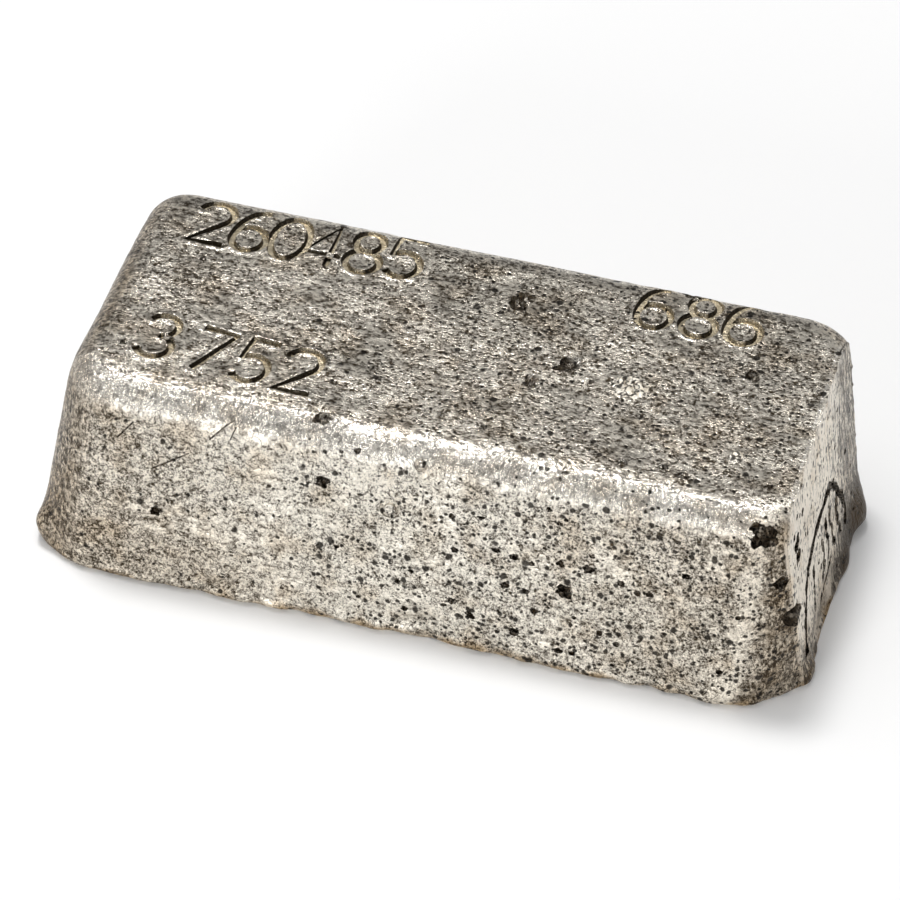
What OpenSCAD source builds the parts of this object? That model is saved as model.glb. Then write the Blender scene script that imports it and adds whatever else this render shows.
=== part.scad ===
// Hand-poured silver bar, one casting, in millimetres.
// It lies as in use: the wide pour face down, the smaller face from the
// bottom of the mould up. +X runs along the bar, -Y is the marked long side
// and the origin is in the middle of the pour face, on the floor.

/* [Bar] */
// Length over the rim around the pour face
bar_length = 64; // [50:1:90]
// Width over the rim
bar_width = 30.4; // [24:0.2:44]
// Height from the pour face to the flat top
bar_height = 18.3; // [12:0.1:28]
// How far each end leans in on its way up
end_taper = 2.4; // [0.4:0.1:4]
// How far each long side leans in on its way up
side_taper = 1.6; // [0.4:0.1:3]

/* [Edges] */
// Radius of the two upright corners at the left end, in front and at the back
front_left_r = 5.2; // [3.2:0.1:8]
back_left_r = 3.4; // [3.2:0.1:8]
// Radius of the two upright corners at the flat right end
front_right_r = 6; // [3.2:0.1:8]
back_right_r = 6.4; // [3.2:0.1:8]
// Radius of the rounding along the top edge, which stops at the flat end
top_edge_r = 2.5; // [1:0.1:3]
// Depth of metal that the flat right end lacks against the round left end
flat_end_cut = 0.9; // [0.3:0.1:2]

/* [Pour face] */
// Radius of the bead that the metal formed along the lip of the mould
rim_r = 0.6; // [0.3:0.05:1.2]
// How far the bead stands out from the walls
rim_proud = 0.3; // [0.1:0.05:0.3]
// Width of the flat land that the bar lies on
land_w = 3; // [2:0.1:4]
// Width of the slope from the land down to the middle of the pour face
sink_run = 5; // [2:0.1:6]
// Depth to which the middle sank as the metal shrank
sink_depth = 0.5; // [0.2:0.05:1.5]

/* [Gas pits] */
// Pits in the top: share of the half length, of the half width, diameter
top_pits = [[0.11, 0.62, 1.3], [0.33, 0.04, 1.6], [0.24, -0.22, 1.1], [0.86, 0.34, 1.1]];
// Pits in the front wall: share of the half length, of the height, diameter
front_pits = [
    [-0.66, 0.40, 1.1], [-0.23, 0.73, 1.2], [-0.05, 0.67, 1.4],
    [0.29, 0.17, 1.1], [0.41, 0.43, 1.4], [0.62, 0.51, 0.9],
];
// Pit in the flat right end: share of the half width, of the height, diameter
end_pit = [-0.66, 0.73, 0.9];
// Notch in the front top edge: share of the half length, diameter
edge_notch = [-0.25, 1.6];

/* [Hidden] */
silver = [0.72, 0.69, 0.64];
corner_steps = 8;
edge_steps = 6;
rim_steps = 3;
sink_steps = 5;
// Height over which the right end runs out from the rim to its full length
end_run_up = 0.6;
// How far the cut of the right end reaches down into the bead
rim_trim = 0.15;
// Smallest corner radius of the outlines on the pour face
inner_corner_r = 2;
// Spare room around what is cut away
clear = 1;

// The bead meets the wall at this angle of its section, and at this height
rim_top_angle = acos(1 - rim_proud / rim_r);
rim_top = rim_r + rim_r * sin(rim_top_angle);

// Share of the taper at a height, counted from the widest line of the bead
function lean(z) = max(0, z - rim_r) / (bar_height - rim_r);
// Distance from the middle to the end walls and to the long walls
function end_x(z) = bar_length / 2 - rim_proud - end_taper * lean(z);
function side_y(z) = bar_width / 2 - rim_proud - side_taper * lean(z);

function arc(x, y, r, start) = [
    for (i = [0:corner_steps])
        let (a = start + 90 * i / corner_steps)
        [x + r * cos(a), y + r * sin(a)]
];

// Closed outline of the bar at a level, which is its inset from the rim,
// its height and how much longer than the left end the right end is
function outline(level) =
    let (
        inset = level[0],
        z = level[1],
        left = bar_length / 2 - inset - end_taper * lean(z),
        right = left + level[2],
        side = bar_width / 2 - inset - side_taper * lean(z),
        least = z > rim_top ? 0 : inner_corner_r,
        r1 = max(back_right_r - inset, least),
        r2 = max(back_left_r - inset, least),
        r3 = max(front_left_r - inset, least),
        r4 = max(front_right_r - inset, least)
    )
    [
        for (p = concat(
            arc(right - r1, side - r1, r1, 0),
            arc(r2 - left, side - r2, r2, 90),
            arc(r3 - left, r3 - side, r3, 180),
            arc(right - r4, r4 - side, r4, 270)
        ))
        [p[0], p[1], z]
    ];

sink_levels = [
    for (i = [sink_steps:-1:0])
        let (s = i / sink_steps)
        [land_w + sink_run * s, sink_depth * (1 - cos(180 * s)) / 2, 0]
];
rim_levels = [
    for (i = [-rim_steps:rim_steps])
        let (a = (i < 0 ? 90 : rim_top_angle) * i / rim_steps)
        [rim_r * (1 - cos(a)), rim_r * (1 + sin(a)), 0]
];
wall_level = [rim_proud, rim_top + end_run_up, flat_end_cut];
// The right end doesn't draw in with the rounding, so its cut is sharp at the top
edge_levels = [
    for (i = [0:edge_steps])
        let (
            a = 90 * i / edge_steps,
            draw = top_edge_r * (1 - cos(a))
        )
        [rim_proud + draw, bar_height - top_edge_r * (1 - sin(a)), flat_end_cut + draw]
];
levels = concat(sink_levels, rim_levels, [wall_level], edge_levels);

// Skin through all the outlines, from the middle of the pour face outwards,
// up the walls and in over the top edge
module casting() {
    n = 4 * (corner_steps + 1);
    last = len(levels) - 1;
    polyhedron(
        points = [for (level = levels) each outline(level)],
        faces = concat(
            [[for (j = [0:n - 1]) j]],
            [
                for (i = [0:last - 1], j = [0:n - 1])
                    let (k = (j + 1) % n)
                    [i * n + j, (i + 1) * n + j, (i + 1) * n + k, i * n + k]
            ],
            [[for (j = [n - 1:-1:0]) last * n + j]]
        )
    );
}

// What is missing at the right end, where the bar is flat above its rim
module flat_end() {
    low = rim_top - rim_trim;
    high = bar_height + clear;
    out = bar_length / 2 + flat_end_cut + clear;
    rotate([90, 0, 0])
        linear_extrude(height = bar_width + 2 * clear, center = true)
            polygon([[end_x(low), low], [out, low], [out, high], [end_x(high), high]]);
}

module pit(place, diameter) {
    translate(place) sphere(d = diameter, $fn = 24);
}

module gas_pits() {
    for (p = top_pits)
        pit([
            p[0] * (end_x(bar_height) - top_edge_r),
            p[1] * (side_y(bar_height) - top_edge_r),
            bar_height,
        ], p[2]);
    for (p = front_pits)
        pit([p[0] * end_x(0), -side_y(p[1] * bar_height), p[1] * bar_height], p[2]);
    pit([end_x(end_pit[1] * bar_height), end_pit[0] * side_y(0), end_pit[1] * bar_height], end_pit[2]);
    edge = top_edge_r * (1 - sin(45));
    pit([edge_notch[0] * end_x(0), edge - side_y(bar_height), bar_height - edge], edge_notch[1]);
}

module silver_bar() {
    color(silver)
        difference() {
            casting();
            flat_end();
            gas_pits();
        }
}

silver_bar();
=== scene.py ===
# Hand-poured silver bar, as it lies on a white table: the wide pour face down,
# the punched face up and the flat end to the right.

import math
import random

import bmesh
import bpy
from mathutils import Matrix, Vector, kdtree, noise


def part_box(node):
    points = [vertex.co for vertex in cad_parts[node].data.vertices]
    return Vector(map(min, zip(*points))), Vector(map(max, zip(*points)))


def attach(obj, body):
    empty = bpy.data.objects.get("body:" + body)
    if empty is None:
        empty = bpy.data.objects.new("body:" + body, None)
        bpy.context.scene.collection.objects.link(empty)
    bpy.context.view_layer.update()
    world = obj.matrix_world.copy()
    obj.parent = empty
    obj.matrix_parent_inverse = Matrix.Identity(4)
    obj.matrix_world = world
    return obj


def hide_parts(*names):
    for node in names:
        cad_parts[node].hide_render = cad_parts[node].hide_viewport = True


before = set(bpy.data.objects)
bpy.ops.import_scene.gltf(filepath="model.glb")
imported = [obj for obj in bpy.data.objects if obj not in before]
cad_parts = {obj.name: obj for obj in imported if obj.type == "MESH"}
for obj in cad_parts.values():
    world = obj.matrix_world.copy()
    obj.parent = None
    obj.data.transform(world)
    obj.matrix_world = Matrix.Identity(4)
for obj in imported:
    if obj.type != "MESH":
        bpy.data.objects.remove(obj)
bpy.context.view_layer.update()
bpy.ops.object.select_all(action="DESELECT")

# Camera: a long lens, in front of the bar, a little to its right and above it,
# held slightly out of level.
mm = 0.001
view_azimuth = math.radians(14.5)
view_height = math.radians(40.7)
view_roll = math.radians(2.2)
view_distance = 517 * mm
view_aim = Vector((-0.3, -0.85, 8.0)) * mm

backwards = Vector((
    math.sin(view_azimuth) * math.cos(view_height),
    -math.cos(view_azimuth) * math.cos(view_height),
    math.sin(view_height),
))
level_right = Vector((math.cos(view_azimuth), math.sin(view_azimuth), 0))
camera_turn = Matrix((level_right, backwards.cross(level_right), backwards)).transposed()
bpy.ops.object.camera_add()
camera = bpy.context.object
camera.data.sensor_width = 36
camera.data.lens = 260
camera.data.clip_start = 0.01
camera.matrix_world = (
    Matrix.Translation(view_aim + view_distance * backwards)
    @ camera_turn.to_4x4()
    @ Matrix.Rotation(view_roll, 4, "Z")
)
bpy.context.scene.camera = camera

# The casting: silver poured into a warm iron loaf mould, then turned out. The mould gave it
# leaning walls and a rounded top edge, and the metal set in a rough bead along the mould's lip.
_, bar_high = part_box("silver_bar")
half_length = bar_high.x
half_width = bar_high.y
bar_height = bar_high.z
near_top = 0.9 * bar_height
skin_height = bar_height - 0.12 * mm
rim_proud = 0.3 * mm
rim_height = 1.15 * mm
end_taper = 2.4 * mm
side_taper = 1.6 * mm
# Each upright corner: its side along x and along y, its radius at the foot and at the top
corners = ((-1, 1, 3.4, 3.4), (1, 1, 8.0, 4.4), (1, -1, 6.5, 5.5), (-1, -1, 5.2, 5.2))
foot_edge = 0.6 * mm
# The left wall stands a little inside its place, more at the top
left_end_cut = 0.12 * mm
left_top_cut = 0.25 * mm
# The flat end is turned a little about an upright line at this place along it
flat_end_turn = 0.035
turn_y = -8 * mm
top_edge_reach = 3.1 * mm
top_edge_fullness = 0.587
flat_end_cut = 0.4 * mm
front_corner_cut = 2.9 * mm
land_width = 3 * mm
sink_run = 5 * mm
sink_depth = 0.5 * mm
skin_grid = 0.3 * mm
hair = 0.02 * mm
rounding_steps = 10


def end_x(z, y=turn_y):
    """Distance from the middle of the bar to its flat end at a height."""
    return half_length - rim_proud - end_taper * z / bar_height - flat_end_turn * (y - turn_y)


def side_y(z):
    """Distance from the middle of the bar to its long walls at a height."""
    return half_width - rim_proud - side_taper * z / bar_height


def choose(kind, test):
    """Selects the edges or faces of the mesh in edit mode that pass the test."""
    mesh = bmesh.from_edit_mesh(bpy.context.object.data)
    bpy.ops.mesh.select_mode(type=kind)
    bpy.ops.mesh.select_all(action="DESELECT")
    for part in mesh.edges if kind == "EDGE" else mesh.faces:
        if test(part):
            part.select_set(True)
    bmesh.update_edit_mesh(bpy.context.object.data)


def apply_modifier(piece, kind, **settings):
    """Adds a modifier with its settings to the piece and applies it."""
    bpy.context.view_layer.objects.active = piece
    bpy.ops.object.modifier_add(type=kind)
    modifier = piece.modifiers[-1]
    for name, value in settings.items():
        setattr(modifier, name, value)
    bpy.ops.object.modifier_apply(modifier=modifier.name)


bpy.ops.mesh.primitive_cube_add(
    size=1,
    location=(0, 0, skin_height / 2),
    scale=(2 * end_x(0), 2 * side_y(0), skin_height),
)
bar = bpy.context.object
bar.name = "cast_bar"
bar.data.name = "cast_bar"
bpy.ops.object.transform_apply(location=True, rotation=True, scale=True)
bpy.ops.object.mode_set(mode="EDIT")

choose("FACE", lambda face: face.normal.z > 0.9)
bpy.ops.transform.resize(
    value=(end_x(bar_height) / end_x(0), side_y(bar_height) / side_y(0), 1)
)
choose("FACE", lambda face: face.normal.x > 0.9)
bpy.ops.transform.translate(value=(flat_end_cut, 0, 0))
choose("FACE", lambda face: face.normal.x < -0.9)
bpy.ops.transform.translate(value=(left_end_cut, 0, 0))
choose("EDGE", lambda edge: all(v.co.x < 0 and v.co.z > bar_height / 2 for v in edge.verts))
bpy.ops.transform.translate(value=(left_top_cut, 0, 0))
mesh = bmesh.from_edit_mesh(bar.data)
for vertex in mesh.verts:
    if vertex.co.x > 0 and vertex.co.y < 0 and vertex.co.z > bar_height / 2:
        vertex.co.x += front_corner_cut - flat_end_cut
bmesh.update_edit_mesh(bar.data)


def is_upright(edge):
    """Tells an upright corner edge from one that runs round the foot or the top."""
    low, high = sorted(vertex.co.z for vertex in edge.verts)
    return high - low > bar_height / 2


for side_x, other_side, foot_radius, top_radius in corners:
    choose(
        "EDGE",
        lambda edge: is_upright(edge)
        and all(v.co.x * side_x > 0 and v.co.y * other_side > 0 for v in edge.verts)
        and any(v.co.x * side_x > 0.95 * half_length for v in edge.verts)
        and any(v.co.y * other_side > 0.95 * half_width for v in edge.verts),
    )
    mesh = bmesh.from_edit_mesh(bar.data)
    sharp_top = max((v.co.copy() for v in mesh.verts if v.select), key=lambda place: place.z)
    bpy.ops.mesh.bevel(offset=foot_radius * mm, segments=rounding_steps, affect="EDGES")
    # The mould's corner draws in or opens out towards the top
    bpy.ops.mesh.select_mode(type="VERT")
    mesh = bmesh.from_edit_mesh(bar.data)
    for vertex in mesh.verts:
        near = (vertex.co - sharp_top).length < 1.1 * foot_radius * mm
        vertex.select_set(near and vertex.co.z > 0.9 * skin_height)
    mesh.select_flush_mode()
    bmesh.update_edit_mesh(bar.data)
    change = top_radius / foot_radius
    bpy.ops.transform.resize(value=(change, change, 1), center_override=sharp_top)
# The flat end has a sharp top edge
choose(
    "EDGE",
    lambda edge: all(v.co.z > 0.99 * skin_height for v in edge.verts)
    and not (all(v.co.x > 0.85 * half_length for v in edge.verts) and edge.calc_length() > half_width),
)
bpy.ops.mesh.bevel(
    offset=top_edge_reach, segments=rounding_steps, profile=top_edge_fullness, affect="EDGES"
)
choose("EDGE", lambda edge: all(v.co.z < 0.01 * mm for v in edge.verts))
bpy.ops.mesh.bevel(offset=foot_edge, segments=3, affect="EDGES")
choose("FACE", lambda face: face.normal.z < -0.99)
bpy.ops.mesh.inset(thickness=land_width)
bpy.ops.mesh.inset(thickness=sink_run, depth=-sink_depth)
bpy.ops.object.mode_set(mode="OBJECT")

apply_modifier(bar, "REMESH", mode="VOXEL", voxel_size=skin_grid)
apply_modifier(bar, "SMOOTH", factor=0.5, iterations=2)

# The underside is plain and needs no fine grid
underside_share = 0.8
underside = bar.vertex_groups.new(name="underside")
low = [vertex for vertex in bar.data.vertices if vertex.co.z < 2 * sink_depth]
underside.add([vertex.index for vertex in low if vertex.normal.z < -0.9], 1.0, "REPLACE")
apply_modifier(bar, "DECIMATE", ratio=underside_share, vertex_group="underside")

# The flat end: the mould's end plate was a loose one, so the casting stops there in a plane
# with a crisp edge, where the metal filled the gap of the joint.
flat_end_normal = Vector((bar_height, flat_end_turn * bar_height, end_taper)).normalized()
bpy.ops.object.mode_set(mode="EDIT")
bpy.ops.mesh.select_all(action="SELECT")
bpy.ops.mesh.bisect(plane_co=(end_x(0), turn_y, 0), plane_no=flat_end_normal)
bpy.ops.object.mode_set(mode="OBJECT")
burr_size = 0.7 * mm
burr_width = 0.2 * mm
for vertex in bar.data.vertices:
    vertex.co.x = min(vertex.co.x, end_x(vertex.co.z, vertex.co.y))
for vertex in bar.data.vertices:
    at_plane = vertex.co.x > end_x(vertex.co.z, vertex.co.y) - hair
    at_edge = at_plane and vertex.normal.x < 0.93
    if at_edge and vertex.co.z > 0.3 * bar_height:
        vertex.co.x += burr_width * max(0, 0.3 + noise.noise(vertex.co / burr_size))

# The rim: metal that crept over the lip of the mould and set as a lumpy bead. It is widest
# at the left corners and under the flat end, where it ran into the joint of the end plate.
lump_size = 1.6 * mm
long_lump_size = 6 * mm
# Large drops, and places where the metal fell short: their place, radius and height
drops = (
    ((-31.2, -12.7, 2.2), 1.25, 1.2), ((31.4, 9.2, 1.7), 1.9, 1.0), ((31.8, 4.6, 1.0), 1.2, 0.5),
    ((31.8, -9.6, 0.9), 1.2, 0.4), ((31.9, -3.0, 0.4), 3.2, -0.4), ((30.2, -12.6, 0.3), 2.2, -0.45),
    ((25.5, -15.1, 0.3), 2.4, 0.35), ((1.0, -15.0, 0.3), 3.2, -0.5), ((-28.5, -14.5, 0.2), 1.5, -0.3),
)


def bead(place):
    """How far the metal stands out at a place on the wall, as a share of the full bead."""
    height = max(0, place.z / rim_height)
    if height >= 1:
        return 0
    lumps = 0.2 + 1.3 * noise.noise(place / lump_size) + 1.2 * noise.noise(place / long_lump_size)
    if lumps < 0:
        return max(-1.6, 1.6 * lumps) * (1 - height)
    return math.sqrt(1 - (2 * height - 1) ** 2) * min(1, lumps)


def drop(place):
    """How far the large drops stand out at a place on the wall."""
    total = 0
    for spot, radius, height in drops:
        off = (place - Vector(spot) * mm).length / (radius * mm)
        total += height * mm * math.exp(-off * off)
    return total


outwards = [Vector((vertex.normal.x, vertex.normal.y, 0)) for vertex in bar.data.vertices]
for vertex, direction in zip(bar.data.vertices, outwards):
    vertex.co += (rim_proud * bead(vertex.co) + drop(vertex.co)) * direction

# The skin: the silver froze first where it touched the mould, and that thin skin shrank into
# shallow waves and fine wrinkles before the rest had set.
wave_sizes = ((9 * mm, 0.22 * mm), (2.6 * mm, 0.1 * mm), (0.9 * mm, 0.05 * mm))
for size, depth in wave_sizes:
    wrinkles = bpy.data.textures.new("wrinkles", "CLOUDS")
    wrinkles.noise_scale = size
    apply_modifier(bar, "DISPLACE", texture=wrinkles, texture_coords="LOCAL", strength=depth, mid_level=0.5)

# The punched figures: struck by hand with single steel punches before the bar was sold, so
# each stands a little out of line. They are plain numbers, which stand for no real weight.
figure_height = 5.1 * mm
groove_width = 0.76 * mm
# Figures of each row, the foot of its first figure, its pitch and its tilt
rows = (
    ("260485", (-23.0, 6.1), 3.15, 1.5),
    ("3752", (-23.0, -8.9), 4.0, -2.5),
    ("686", (13.7, 6.7), 3.6, 3.0),
)


def arc(x, y, wide, high, start, end, steps=20):
    """Points on a part of an ellipse, from one angle in degrees to another."""
    turns = [math.radians(start + (end - start) * i / steps) for i in range(steps + 1)]
    return [(x + wide * math.cos(turn), y + high * math.sin(turn)) for turn in turns]


# Strokes of each figure, in a field one high with its foot at the origin
figure_strokes = {
    "0": [arc(0, 0.5, 0.29, 0.5, 0, 360)],
    "2": [arc(0, 0.72, 0.27, 0.28, 165, -35) + [(-0.29, 0), (0.29, 0)]],
    "3": [arc(0, 0.75, 0.24, 0.25, 155, -80) + arc(0, 0.27, 0.28, 0.27, 80, -155)],
    "4": [[(0.13, 0), (0.13, 1), (-0.3, 0.28), (0.3, 0.28)]],
    "5": [[(0.25, 1), (-0.19, 1), (-0.22, 0.54)] + arc(0, 0.31, 0.28, 0.31, 125, -145)],
    "6": [arc(0, 0.29, 0.27, 0.29, 0, 360), arc(0.14, 0.3, 0.41, 0.7, 182, 88, 12)],
    "7": [[(-0.27, 1), (0.28, 1), (-0.08, 0)]],
    "8": [arc(0, 0.76, 0.22, 0.24, 0, 360), arc(0, 0.27, 0.27, 0.27, 0, 360)],
}
# How far the figures lean, in degrees, and how far they stand out of line
figure_lean = 4
figure_drift_x = 0.12
figure_drift_y = 0.2
shaky = random.Random(7)


def cutter_curve(name, strokes, width, sides=4, unevenness=0):
    """Makes a closed tube along each stroke, to cut a groove with. Its width may vary."""
    curve = bpy.data.curves.new(name, "CURVE")
    curve.dimensions = "3D"
    curve.bevel_depth = width / 2
    curve.bevel_resolution = sides // 4 - 1
    curve.use_fill_caps = True
    for stroke in strokes:
        closed = (stroke[0] - stroke[-1]).length < 0.01 * mm
        points = stroke[:-1] if closed else stroke
        spline = curve.splines.new("POLY")
        spline.points.add(len(points) - 1)
        for point, place in zip(spline.points, points):
            point.co = (*place, 1)
            point.radius = 1 + unevenness * noise.noise(place / mm)
        spline.use_cyclic_u = closed
    cutter = bpy.data.objects.new(name, curve)
    bpy.context.collection.objects.link(cutter)
    bpy.ops.object.select_all(action="DESELECT")
    cutter.select_set(True)
    bpy.context.view_layer.objects.active = cutter
    bpy.ops.object.convert(target="MESH")
    cutter = bpy.context.object
    bpy.ops.object.mode_set(mode="EDIT")
    bpy.ops.mesh.select_all(action="SELECT")
    bpy.ops.mesh.remove_doubles(threshold=0.001 * mm)
    bpy.ops.mesh.normals_make_consistent()
    bpy.ops.object.mode_set(mode="OBJECT")
    return cutter


figures = []
for text, (left, foot), pitch, tilt in rows:
    for i, digit in enumerate(text):
        turn = Matrix.Rotation(math.radians(tilt), 3, "Z")
        lean = Matrix.Rotation(math.radians(shaky.uniform(-figure_lean, figure_lean)), 3, "Z")
        drift_x = shaky.uniform(-figure_drift_x, figure_drift_x)
        drift_y = shaky.uniform(-figure_drift_y, figure_drift_y)
        shift = Vector((drift_x, drift_y, 0)) * mm
        start = Vector((left, foot, 0)) * mm + turn @ Vector((i * pitch, 0, 0)) * mm + shift
        sink = skin_height - 0.03 * mm
        figures.append([
            [start + turn @ lean @ Vector((x * figure_height, y * figure_height, sink)) for x, y in stroke]
            for stroke in figure_strokes[digit]
        ])
strokes = [stroke for figure in figures for stroke in figure]

# The metal beside the figures: each blow raised a low lip along both sides of its groove.
# The skin there gets a finer grid first.
lip_reach = 0.75 * mm
lip_place = 0.4 * mm
lip_width = 0.15 * mm
lip_height = 0.08 * mm
stroke_points = []
for stroke in strokes:
    for start, end in zip(stroke, stroke[1:]):
        count = 1 + int((end - start).length / (0.2 * mm))
        stroke_points += [start.lerp(end, i / count) for i in range(count + 1)]
stroke_tree = kdtree.KDTree(len(stroke_points))
for i, point in enumerate(stroke_points):
    stroke_tree.insert(point, i)
stroke_tree.balance()


def from_stroke(place):
    """Distance from a place to the nearest stroke of a figure."""
    return stroke_tree.find(place)[2]


bpy.context.view_layer.objects.active = bar
bpy.ops.object.mode_set(mode="EDIT")
choose(
    "FACE",
    lambda face: face.verts[0].co.z > near_top
    and from_stroke(face.calc_center_median()) < lip_reach,
)
bpy.ops.mesh.subdivide(number_cuts=1)
bpy.ops.object.mode_set(mode="OBJECT")
for vertex in bar.data.vertices:
    if vertex.co.z > near_top:
        off = (from_stroke(vertex.co) - lip_place) / lip_width
        vertex.co.z += lip_height * math.exp(-off * off)


def cut_away(cutter):
    """Cuts the cutter's shape out of the bar and deletes the cutter."""
    bpy.ops.object.select_all(action="DESELECT")
    apply_modifier(
        bar, "BOOLEAN", object=cutter, operation="DIFFERENCE", solver="MANIFOLD", material_mode="TRANSFER"
    )
    bpy.data.objects.remove(cutter)


silver_skin = bpy.data.materials.new("silver_skin")
stamped_groove = bpy.data.materials.new("stamped_groove")
bar.data.materials.clear()
bar.data.materials.append(silver_skin)
for stroke in strokes:
    groove = cutter_curve("figure_groove", [stroke], groove_width, 8)
    groove.data.materials.append(stamped_groove)
    cut_away(groove)

# The lap seam on the flat end: two fronts of metal met there too cold to join, which left
# an arched seam with shrinkage cracks inside it, and long pits beside it.
seam_width = 1.15 * mm
crack_width = 0.8 * mm
seam_route = (
    (-9.6, 2.5), (-9.4, 4.5), (-9.0, 6.2), (-8.3, 7.7), (-7.0, 9.2), (-4.1, 10.1), (-1.4, 10.3),
    (1.2, 10.3), (3.0, 9.4), (3.8, 8.2), (5.1, 6.4), (5.8, 4.7), (5.3, 3.2),
)
crack_routes = (
    ((0.8, 9.1), (1.3, 6.5), (1.5, 4.2)),
    ((3.3, 7.8), (3.3, 5.4), (4.1, 3.5)),
    ((-2.4, 8.2), (-2.0, 5.5), (-2.6, 4.3), (-3.1, 2.1)),
    ((0.6, 4.2), (-1.1, 3.6), (-2.2, 2.9), (-3.0, 1.7)),
    ((-5.6, 8.0), (-5.4, 6.0), (-5.8, 3.2)),
    ((-0.6, 8.8), (-0.4, 6.4), (-0.9, 4.4)),
)


def on_flat_end(y, z):
    """The place on the flat end at a distance along it and a height, in millimetres."""
    return Vector((end_x(z * mm, y * mm) + hair, y * mm, z * mm))


def wander(route, shake, steps=8):
    """Points along a route on the flat end, with a fine unsteadiness."""
    points = []
    for (y0, z0), (y1, z1) in zip(route, route[1:]):
        for i in range(steps):
            y = y0 + (y1 - y0) * i / steps
            z = z0 + (z1 - z0) * i / steps
            drift = noise.noise(Vector((y0, y * 1.5, z * 1.5)))
            points.append(on_flat_end(y + shake * drift, z))
    return points


shrinkage_crack = bpy.data.materials.new("shrinkage_crack")
seam = cutter_curve("lap_seam", [wander(seam_route, 0.3)], seam_width, unevenness=0.7)
seam.data.materials.append(shrinkage_crack)
cut_away(seam)
for route in crack_routes:
    crack = cutter_curve("crack", [wander(route, 0.5)], crack_width, unevenness=1.0)
    crack.data.materials.append(shrinkage_crack)
    cut_away(crack)

# Gas pits: bubbles caught under the skin that burst as the metal set. The large ones lie
# where the metal was hottest, towards the flat end, and small ones are strewn round them.
top_pits = (
    (3.0, 6.6, 2.3), (8.8, 0.4, 2.4), (6.5, -2.4, 1.6), (12.6, 5.0, 0.8), (22.8, 3.6, 1.3),
    (25.3, 6.4, 0.9), (15.7, -9.6, 1.0), (18.9, -9.2, 0.9), (20.5, -9.7, 1.1), (27.2, -9.0, 0.8),
    (4.4, -8.8, 0.7), (-25.4, -7.6, 0.8), (-22.4, 4.1, 0.7), (15.7, 12.4, 1.6), (-7.8, -11.6, 1.6),
)
front_pits = (
    (-4.5, 17.0, 0.6), (-7.1, 13.4, 1.2), (-20.6, 7.3, 1.0), (3.4, 12.8, 0.6), (5.7, 13.2, 0.6),
    (3.8, 9.7, 0.7), (7.1, 10.4, 0.7), (8.5, 10.2, 0.7), (8.0, 7.3, 0.7), (9.7, 7.1, 0.6),
    (3.9, 4.7, 0.7), (5.4, 3.7, 0.9), (10.5, 5.4, 0.6), (9.0, 3.0, 0.9), (12.6, 2.1, 0.7),
    (0.0, 2.8, 0.6), (-0.6, 5.5, 0.5), (12.7, 7.9, 1.4), (12.3, 10.4, 0.7), (14.5, 10.5, 0.8),
    (17.2, 9.8, 0.7), (18.5, 9.2, 0.6), (19.5, 9.3, 0.7), (22.2, 11.8, 0.7),
)
corner_pits = ((27.7, -12.5, 16.5, 2.4), (29.2, -12.3, 12.2, 1.3), (26.8, -12.6, 16.4, 0.7))
end_pits = (
    (-10.0, 14.0, 1.9), (-9.9, 12.6, 1.5), (-11.7, 8.4, 2.5),
    (-9.4, 16.1, 0.6), (-10.8, 15.2, 0.6), (-7.6, 15.1, 0.7),
    (5.8, 14.6, 0.6), (4.3, 12.1, 0.7), (7.4, 9.1, 0.6), (-4.6, 13.2, 0.5), (-6.3, 12.0, 0.5),
    (-7.2, 13.6, 0.4), (0.4, 13.9, 0.5), (-1.6, 15.9, 0.5), (2.6, 16.2, 0.4),
)
scattered_pits = 170
pit_gap = 0.15 * mm
scatter = random.Random(3)

large_pit = 0.65 * mm
bubbles = []
for fineness in (2, 3):
    bpy.ops.mesh.primitive_ico_sphere_add(subdivisions=fineness, radius=1)
    bubbles.append(bpy.context.object)

skin = []
for x, y, width in top_pits:
    skin.append((Vector((x * mm, y * mm, bar_height)), width * mm))
for x, z, width in front_pits:
    skin.append((Vector((x * mm, -side_y(z * mm), z * mm)), width * mm))
for x, y, z, width in corner_pits:
    skin.append((Vector((x, y, z)) * mm, width * mm))
for y, z, width in end_pits:
    skin.append((on_flat_end(y, z), width * mm))
while len(skin) < scattered_pits:
    width = scatter.choice((0.35, 0.4, 0.45, 0.55)) * mm
    along = half_length * scatter.triangular(-0.9, 0.95, 0.6)
    z = bar_height * scatter.uniform(0.08, 0.85)
    across = half_width * scatter.uniform(-0.8, 0.8)
    spot = scatter.choice((
        Vector((along, -side_y(z), z)),
        Vector((along, side_y(z), z)),
        Vector((along, across, bar_height)),
        Vector((-end_x(z), across, z)),
        Vector((end_x(z), across, z)),
    ))
    apart = all((spot - other).length > (width + wide) / 2 + pit_gap for other, wide in skin)
    if apart and from_stroke(spot) > lip_reach:
        skin.append((spot, width))

pits = []
for spot, width in skin:
    _, place, normal, _ = bar.closest_point_on_mesh(spot)
    bubble = bubbles[width > large_pit]
    pit = bubble.copy()
    pit.data = bubble.data.copy()
    bpy.context.collection.objects.link(pit)
    for vertex in pit.data.vertices:
        lumps = noise.noise(1.4 * vertex.co + place / mm)
        lumps += 0.5 * noise.noise(3.5 * vertex.co - place / mm)
        vertex.co *= 1 + 0.55 * lumps
    spin = Matrix.Rotation(scatter.uniform(0, 2 * math.pi), 4, "Z")
    squeeze = Matrix.Diagonal((width / 2, width / 2 * scatter.uniform(0.7, 1), width / 2, 1))
    stand = normal.to_track_quat("Z", "Y").to_matrix().to_4x4()
    pit.data.transform(Matrix.Translation(place) @ stand @ squeeze @ spin)
    pits.append(pit)
for bubble in bubbles:
    bpy.data.objects.remove(bubble)
bpy.ops.object.select_all(action="DESELECT")
for pit in pits:
    pit.select_set(True)
bpy.context.view_layer.objects.active = pits[0]
bpy.ops.object.join()
gas_pit = bpy.data.materials.new("gas_pit")
pits[0].data.materials.append(gas_pit)
cut_away(pits[0])

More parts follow.
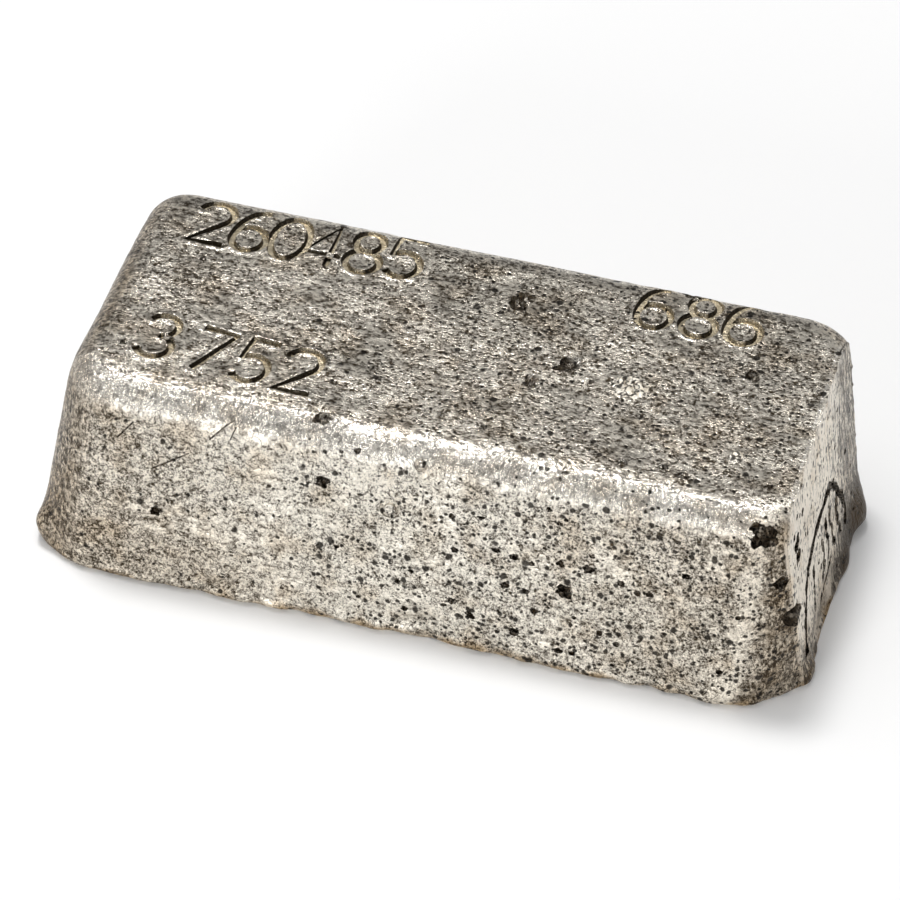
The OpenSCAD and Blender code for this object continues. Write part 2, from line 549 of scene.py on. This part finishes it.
# Dents and scratches: a round tool slipped on the front wall and left two rings, and something
# sharp scratched it beside them. On top a blister burst and left a rough bright scab.
ring_dents = ((0.6, 16.9, 1.1), (-1.6, 12.2, 1.7))
ring_groove = 0.4 * mm
scratch_width = 0.16 * mm
scratch_steps = 6
scratches = (
    ((-16.4, 15.2), (-14.5, 17.6)), ((-14.3, 16.9), (-14.7, 15.6)),
    ((-20.9, 11.4), (-18.0, 13.5)), ((-23.9, 13.6), (-22.6, 15.4)),
)
scabs = (((14.0, -0.7), 1.4), ((24.0, -6.2), 0.6))
scab_grain = 0.4 * mm
scab_height = 0.32 * mm


def on_front(x, z):
    """The place on the front wall, and which way the metal faces there."""
    _, place, normal, _ = bar.closest_point_on_mesh(Vector((x * mm, -side_y(z * mm), z * mm)))
    return place, normal


rings = []
for x, z, width in ring_dents:
    place, normal = on_front(x, z)
    bpy.ops.mesh.primitive_torus_add(
        location=place,
        rotation=normal.to_track_quat("Z", "Y").to_euler(),
        major_radius=(width * mm - ring_groove) / 2,
        minor_radius=ring_groove / 2,
        major_segments=28,
        minor_segments=8,
    )
    rings.append(bpy.context.object)
for ring in rings:
    ring.data.materials.append(silver_skin)
    cut_away(ring)
for start, end in scratches:
    steps = [i / scratch_steps for i in range(scratch_steps + 1)]
    line = [on_front(*Vector(start).lerp(Vector(end), step))[0] for step in steps]
    scratch = cutter_curve("scratch", [line], scratch_width)
    scratch.data.materials.append(shrinkage_crack)
    cut_away(scratch)


def scab(place):
    """Share of its height that a scab has at a place, from none to full."""
    share = 0
    for spot, radius in scabs:
        off = (place.xy - Vector(spot) * mm).length / (radius * mm)
        if place.z > near_top and off < 1:
            share = max(share, 1 - off ** 4)
    return share


burst_scab = bpy.data.materials.new("burst_scab")
bar.data.materials.append(burst_scab)
bpy.context.view_layer.objects.active = bar
bpy.ops.object.mode_set(mode="EDIT")
choose("FACE", lambda face: scab(face.calc_center_median()) > 0)
bpy.ops.mesh.subdivide(number_cuts=1)
bar.active_material_index = len(bar.data.materials) - 1
bpy.ops.object.material_slot_assign()
bpy.ops.object.mode_set(mode="OBJECT")
for vertex in bar.data.vertices:
    share = scab(vertex.co)
    if share > 0:
        vertex.co.z += scab_height * share * (0.4 + 1.6 * noise.noise(vertex.co / scab_grain))

for vertex in bar.data.vertices:
    vertex.co.x = min(half_length, max(-half_length, vertex.co.x))
    vertex.co.y = min(half_width, max(-half_width, vertex.co.y))
    vertex.co.z = min(bar_height, max(0, vertex.co.z))

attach(bar, "root")
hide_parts("silver_bar")
bpy.ops.object.select_all(action="DESELECT")
bar.select_set(True)
bpy.context.view_layer.objects.active = bar
bpy.ops.object.shade_smooth_by_angle(angle=math.radians(35))


# The finish: raw cast silver, grey where it tarnished and bright where it is rubbed, with painted
# highlights along its front edge, its right front corner and the lip of its foot. Pores and dark
# specks cover it, drawn out along the bar on the top as the metal ran, and the hollows hold brown
# and black tarnish, darkened further as painted shade. Places are in millimetres here.
rubbed_silver_and_highlight = (0.9, 0.865, 0.8, 1)
pale_silver = (0.96, 0.905, 0.8, 1)
dull_silver = (0.06, 0.046, 0.029, 1)
matt_silver = (0.52, 0.51, 0.49, 1)
brown_film = (0.62, 0.49, 0.34, 1)
brown_tarnish = (0.16, 0.105, 0.055, 1)
gold_tarnish = (0.86, 0.73, 0.5, 1)
black_tarnish_and_shade = (0.018, 0.015, 0.012, 1)
# Scale, detail and roughness of the grain
grain_noise = (4.8, 3.0, 0.75)


def add_node(tree, kind, inputs=(), **settings):
    """Adds a shader node, sets its settings, and sets or links its inputs."""
    node = tree.nodes.new("ShaderNode" + kind)
    for name, value in settings.items():
        setattr(node, name, value)
    for name, value in dict(inputs).items():
        if isinstance(value, bpy.types.NodeSocket):
            tree.links.new(value, node.inputs[name])
        else:
            node.inputs[name].default_value = value
    return node


def math_node(tree, operation, *values):
    return add_node(tree, "Math", enumerate(values), operation=operation).outputs[0]


def scale_place(tree, place, factors):
    return add_node(tree, "VectorMath", {0: place, 1: factors}, operation="MULTIPLY").outputs[0]


def mix_colour(tree, share, low, high):
    return add_node(tree, "Mix", {0: share, 6: low, 7: high}, data_type="RGBA").outputs[2]


def smooth_step(tree, value, low, high, to_low=0.0, to_high=1.0):
    limits = {"Value": value, "From Min": low, "From Max": high, "To Min": to_low, "To Max": to_high}
    return add_node(tree, "MapRange", limits, interpolation_type="SMOOTHSTEP").outputs["Result"]


def noise_node(tree, place, per_mm, detail=2.0, roughness=0.5):
    settings = {"Vector": place, "Scale": per_mm, "Detail": detail, "Roughness": roughness}
    return add_node(tree, "TexNoise", settings).outputs[0]


def pores(tree, place, per_mm, share, smallest, largest):
    """Round hollows, one in some cells of a pattern: their depth, from none to full."""
    cells = add_node(tree, "TexVoronoi", {"Vector": place, "Scale": per_mm})
    chance = add_node(tree, "SeparateColor", {0: cells.outputs["Color"]})
    kept = math_node(tree, "LESS_THAN", chance.outputs[0], share)
    radius = math_node(tree, "MULTIPLY_ADD", chance.outputs[1], largest - smallest, smallest)
    reach = math_node(tree, "DIVIDE", cells.outputs["Distance"], radius)
    return math_node(tree, "MULTIPLY", smooth_step(tree, reach, 1.1, 0.7), kept)


def finish_silver(material, darkness=0.0, brownness=0.0, gilding=0.0, shine=0.0, crazing=0.0):
    """Builds the finish of the skin, or of a place that is darker, browner, golden or cracked."""
    material.use_nodes = True
    tree = material.node_tree
    shader = tree.nodes["Principled BSDF"]
    shader.inputs["Metallic"].default_value = 1
    coordinates = add_node(tree, "TexCoord")
    place = add_node(
        tree, "VectorMath", {0: coordinates.outputs["Object"], "Scale": 1 / mm}, operation="SCALE"
    ).outputs[0]
    x, y, z = add_node(tree, "SeparateXYZ", {0: place}).outputs
    facing = add_node(tree, "SeparateXYZ", {0: coordinates.outputs["Normal"]}).outputs

    # Where the grain runs: along the bar on top, across its front edge, which is partly rubbed
    # and partly a painted highlight, and upright on the flat end
    on_top = smooth_step(tree, facing[2], 0.93, 0.99)
    on_edge = smooth_step(tree, facing[1], -0.04, -0.2)
    for value, low, high in ((facing[2], 0.12, 0.5), (x, 29.5, 26), (z, 12, 14)):
        on_edge = math_node(tree, "MULTIPLY", on_edge, smooth_step(tree, value, low, high))
    leaned = math_node(tree, "MULTIPLY_ADD", z, end_taper / bar_height, x)
    turned = math_node(tree, "SUBTRACT", y, turn_y / mm)
    leaned = math_node(tree, "MULTIPLY_ADD", turned, flat_end_turn, leaned)
    to_end = math_node(tree, "SUBTRACT", leaned, end_x(0) / mm)
    on_end = smooth_step(tree, to_end, -0.14, -0.06)
    sideways = math_node(tree, "ABSOLUTE", facing[0])
    on_corner = math_node(tree, "SUBTRACT", smooth_step(tree, sideways, 0.2, 0.6), on_end)
    on_corner = math_node(tree, "MAXIMUM", on_corner, 0.0)
    # Along the top edge of the flat end a burr, partly rubbed and partly a painted highlight, and along the
    # lip of the foot a painted highlight
    on_burr_and_lit_lip = math_node(tree, "SUBTRACT", smooth_step(tree, to_end, -0.4, -0.25), on_end)
    burr_out = smooth_step(tree, to_end, 0.02, 0.06)
    burr_out = math_node(tree, "MULTIPLY", burr_out, smooth_step(tree, z, 5, 7))
    on_burr_and_lit_lip = math_node(tree, "MAXIMUM", on_burr_and_lit_lip, burr_out)
    below = smooth_step(tree, facing[2], -0.3, -0.7)
    lit_foot_lip = math_node(tree, "SUBTRACT", smooth_step(tree, z, 0.5, 0.15), below)
    on_burr_and_lit_lip = math_node(tree, "MAXIMUM", on_burr_and_lit_lip, lit_foot_lip)
    warp = add_node(tree, "TexNoise", {"Vector": place, "Scale": 2.5}).outputs["Color"]
    warped = add_node(
        tree, "VectorMath", {0: warp, 1: (0.3, 0.3, 0.3), 2: place}, operation="MULTIPLY_ADD"
    ).outputs[0]
    patch = noise_node(tree, place, 0.16, 3.0, 0.6)
    tint = noise_node(tree, place, 0.35, 3.0, 0.5)
    calm = smooth_step(tree, noise_node(tree, place, 0.22, 2.0, 0.6), 0.5, 0.66, 0.0, 0.6)
    grain = noise_node(tree, warped, *grain_noise)
    for share, factors in (
        (on_top, (0.7, 1.3, 1)), (on_edge, (1.2, 0.4, 0.4)),
        (on_corner, (1, 1, 0.5)), (on_end, (1, 1.4, 0.35)),
    ):
        drawn = noise_node(tree, scale_place(tree, warped, factors), *grain_noise)
        grain = add_node(tree, "Mix", {0: share, 2: grain, 3: drawn}).outputs[0]
    grain = add_node(tree, "Mix", {0: calm, 2: grain, 3: 0.5}).outputs[0]
    blotch = noise_node(tree, scale_place(tree, warped, (0.75, 1.2, 1)), 1.9, 2.0, 0.6)

    # Fine curved wrinkles, and on the flat end upright streaks
    wrinkle = math_node(tree, "SUBTRACT", noise_node(tree, warped, 1.5, 2.0, 0.6), 0.5)
    wrinkle = smooth_step(tree, math_node(tree, "ABSOLUTE", wrinkle), 0.03, 0.0)
    streak = noise_node(tree, scale_place(tree, warped, (1, 3.2, 0.4)), 1.0, 2.0, 0.6)
    streak = math_node(tree, "MULTIPLY", smooth_step(tree, streak, 0.47, 0.6), on_end)
    low_end = math_node(tree, "MULTIPLY", smooth_step(tree, z, 6, 2), on_end)
    back_end = math_node(tree, "MULTIPLY", smooth_step(tree, y, 0, 9), on_end)
    drops_out = math_node(tree, "MULTIPLY", smooth_step(tree, to_end, 0.08, 0.35), on_end)

    # Pores: most in the middle of the front and towards the flat end, few on the edges
    crowd = math_node(tree, "MULTIPLY_ADD", patch, 1.0, -0.45)
    crowd = math_node(tree, "ADD", crowd, smooth_step(tree, x, -16, 2, 0.0, 0.42))
    crowd = math_node(tree, "MULTIPLY_ADD", on_edge, -0.3, crowd)
    crowd = math_node(tree, "MULTIPLY_ADD", on_top, -0.14, crowd)
    small_pores = pores(tree, warped, 2.3, crowd, 0.2, 0.5)
    large_pores = pores(tree, warped, 1.15, math_node(tree, "MULTIPLY", crowd, 0.5), 0.16, 0.42)
    pore = math_node(tree, "MAXIMUM", small_pores, large_pores)

    # Duller away from the middle, at the corners and low down
    away = smooth_step(tree, math_node(tree, "ABSOLUTE", math_node(tree, "ADD", x, 1)), 5, 30)
    away = math_node(tree, "MULTIPLY", away, math_node(tree, "SUBTRACT", 1.0, on_top))
    away = math_node(tree, "MULTIPLY", away, math_node(tree, "SUBTRACT", 1.0, on_edge))
    low_left = math_node(tree, "MULTIPLY", smooth_step(tree, z, 10, 3), smooth_step(tree, x, -2, -18))
    # A painted highlight: an upright bright band where the front turns into its right corner
    corner_highlight = smooth_step(tree, facing[0], 0.03, 0.1)
    for value, low, high in ((facing[0], 0.36, 0.2), (x, 20, 24)):
        corner_highlight = math_node(tree, "MULTIPLY", corner_highlight, smooth_step(tree, value, low, high))
    dullness = math_node(tree, "MULTIPLY_ADD", grain, 0.75, math_node(tree, "MULTIPLY", blotch, 0.36))
    for value, weight in (
        (tint, 0.06), (patch, 0.07), (away, 0.042), (on_corner, 0.03), (wrinkle, 0.07), (streak, 0.15),
        (corner_highlight, -0.06), (on_top, 0.032), (on_edge, 0.015), (on_end, -0.19), (low_end, 0.22),
        (back_end, 0.2), (low_left, 0.01),
    ):
        dullness = math_node(tree, "MULTIPLY_ADD", value, weight, dullness)
    dullness = math_node(tree, "SUBTRACT", dullness, 0.012 + shine)
    contrast = math_node(tree, "MULTIPLY", math_node(tree, "SUBTRACT", dullness, 0.65), on_top)
    dullness = math_node(tree, "MULTIPLY_ADD", contrast, 0.6, dullness)
    dullness = smooth_step(tree, dullness, 0.53, 0.77)
    colour = mix_colour(tree, dullness, pale_silver, dull_silver)
    # The front edge is lighter: partly rubbed metal, partly a painted highlight
    colour = mix_colour(tree, math_node(tree, "MULTIPLY", on_edge, 0.3), colour, rubbed_silver_and_highlight)
    colour = mix_colour(tree, math_node(tree, "MULTIPLY", on_end, 0.1), colour, matt_silver)
    # The burr is lighter, partly rubbed and partly a painted highlight, and the foot's lip is a painted
    # highlight
    burr_and_glint = math_node(tree, "MULTIPLY", on_burr_and_lit_lip, smooth_step(tree, blotch, 0.4, 0.55))
    colour = mix_colour(tree, math_node(tree, "MULTIPLY", burr_and_glint, 0.85), colour, rubbed_silver_and_highlight)
    # A brown film lies at the corners, along the rim and low on the flat end
    film = math_node(tree, "MULTIPLY", smooth_step(tree, tint, 0.45, 0.7), 0.3)
    for value, weight in (
        (away, 0.2), (on_corner, 0.3), (low_end, 0.3), (on_top, 0.1), (drops_out, 0.7),
        (low_left, 0.15),
    ):
        film = math_node(tree, "MULTIPLY_ADD", value, weight, film)
    rim_brown = smooth_step(tree, math_node(tree, "MULTIPLY_ADD", tint, -3.2, z), -0.2, -1.5)
    rim_brown = math_node(tree, "SUBTRACT", rim_brown, below)
    film = math_node(tree, "MINIMUM", math_node(tree, "MAXIMUM", film, rim_brown), 1.0)
    colour = add_node(
        tree, "Mix", {0: film, 6: colour, 7: brown_film}, data_type="RGBA", blend_type="MULTIPLY"
    ).outputs[2]
    # Painted light and shade in the hollows: on the top, the far wall of a hollow, which faces the
    # front, is left pale as if lit, and the rest of a hollow takes the brown tarnish, partly real
    # tarnish and partly painted shade
    hollow_tarnish_and_shade = smooth_step(tree, facing[1], -0.2, -0.45, 1.0, 0.1)
    hollow_tarnish_and_shade = math_node(tree, "MAXIMUM", hollow_tarnish_and_shade, smooth_step(tree, z, 17.3, 17.0))
    colour = mix_colour(tree, math_node(tree, "MULTIPLY", hollow_tarnish_and_shade, brownness), colour, brown_tarnish)
    if gilding:
        # Golden tarnish over its floor, and painted shade on its steep walls along its edges and on
        # its left wall
        colour = mix_colour(tree, gilding, colour, gold_tarnish)
        steep_wall_shade = smooth_step(tree, facing[2], 0.6, 0.3)
        left_wall_shade = smooth_step(tree, facing[0], 0.15, 0.5)
        soot_and_shade = math_node(tree, "MULTIPLY", math_node(tree, "MAXIMUM", steep_wall_shade, left_wall_shade), darkness)
    elif crazing:
        # Dark cracks run through a scab
        crack = math_node(tree, "SUBTRACT", noise_node(tree, warped, 1.3, 2.0, 0.6), 0.5)
        crack = smooth_step(tree, math_node(tree, "ABSOLUTE", crack), 0.07, 0.02)
        soot_and_shade = math_node(tree, "MULTIPLY", crack, crazing)
    else:
        # Black in the dull grain of a hollow: partly tarnish, partly painted shade
        soot_and_shade = math_node(tree, "MULTIPLY", smooth_step(tree, grain, 0.62, 0.42), darkness)
        soot_and_shade = math_node(tree, "MULTIPLY", soot_and_shade, hollow_tarnish_and_shade)
    # Pores and hollows are painted near black: partly tarnish, partly painted shade
    dark = math_node(tree, "MAXIMUM", math_node(tree, "MULTIPLY", pore, 0.93), soot_and_shade)
    colour = mix_colour(tree, dark, colour, black_tarnish_and_shade)
    tree.links.new(colour, shader.inputs["Base Color"])
    roughness = math_node(tree, "MULTIPLY_ADD", on_top, -0.06, 0.2)
    roughness = math_node(tree, "MULTIPLY_ADD", on_edge, -0.08, roughness)
    roughness = math_node(tree, "MULTIPLY_ADD", grain, 0.3, roughness)
    roughness = math_node(tree, "ADD", roughness, 0.3 * crazing)
    tree.links.new(roughness, shader.inputs["Roughness"])

    relief = math_node(tree, "MULTIPLY_ADD", blotch, 0.8, grain)
    relief = math_node(tree, "MULTIPLY_ADD", wrinkle, 0.15, relief)
    relief = math_node(tree, "MULTIPLY_ADD", streak, 0.3, relief)
    height = math_node(tree, "MULTIPLY_ADD", pore, -0.5, math_node(tree, "MULTIPLY", relief, -1.2))
    strength = math_node(tree, "MULTIPLY_ADD", on_top, -0.67, 1.0)
    bump = add_node(tree, "Bump", {"Height": height, "Distance": 0.14 * mm, "Strength": strength})
    tree.links.new(bump.outputs["Normal"], shader.inputs["Normal"])


finish_silver(silver_skin)
finish_silver(stamped_groove, darkness=0.95, brownness=0.3, gilding=0.65)
finish_silver(gas_pit, darkness=1.0, brownness=0.4)
finish_silver(shrinkage_crack, darkness=1.0, brownness=0.3)
finish_silver(burst_scab, shine=0.3, crazing=0.9)

# The table: a plain matt white sheet that the bar lies on, larger than the view. It is a part
# of the picture only. What is seen of it, also as a reflection, is a little brighter than the
# lamps make it.
glow = 0.07
bpy.ops.mesh.primitive_plane_add(size=4)
table = bpy.context.object
table.name = "table"
white = bpy.data.materials.new("white_table")
white.use_nodes = True
sheet = white.node_tree
sheet_shader = sheet.nodes["Principled BSDF"]
sheet_shader.inputs["Base Color"].default_value = (0.9, 0.9, 0.9, 1)
sheet_shader.inputs["Roughness"].default_value = 1
sheet_shader.inputs["Emission Color"].default_value = (1, 1, 1, 1)
path = add_node(sheet, "LightPath")
seen = math_node(sheet, "ADD", path.outputs["Is Camera Ray"], path.outputs["Is Glossy Ray"])
seen = math_node(sheet, "ADD", seen, path.outputs["Is Transmission Ray"])
seen = math_node(sheet, "MULTIPLY", math_node(sheet, "MINIMUM", seen, 1.0), glow)
sheet.links.new(seen, sheet_shader.inputs["Emission Strength"])
table.data.materials.append(white)

# Light: a small lamp high over the bar, which lays its shadow and the brightest shine on its
# front edge, a broad weak one that widens this shine, and a low one for the front wall. The
# room is grey, and the bar's top mirrors it.
world = bpy.context.scene.world or bpy.data.worlds.new("room")
bpy.context.scene.world = world
world.use_nodes = True
room = world.node_tree
room.nodes["Background"].inputs["Color"].default_value = (0.305, 0.305, 0.305, 1)


def softbox(name, direction, distance, size, brightness):
    """Hangs a square lamp in a direction from the bar, facing it, of a given brightness."""
    place = Vector(direction).normalized() * distance
    bpy.ops.object.light_add(type="AREA", location=place)
    lamp = bpy.context.object
    lamp.name = name
    lamp.data.size = size
    lamp.data.energy = brightness * math.pi * size * size
    lamp.rotation_euler = place.to_track_quat("Z", "Y").to_euler()


softbox("high_box", (-0.18, 0.15, 0.97), distance=0.7, size=0.14, brightness=38)
softbox("broad_box", (-0.2, -0.05, 0.97), distance=0.75, size=0.6, brightness=1.3)
softbox("front_box", (-0.19, -0.95, 0.2), distance=0.7, size=0.3, brightness=8.5)

bpy.context.scene.view_settings.view_transform = "Standard"
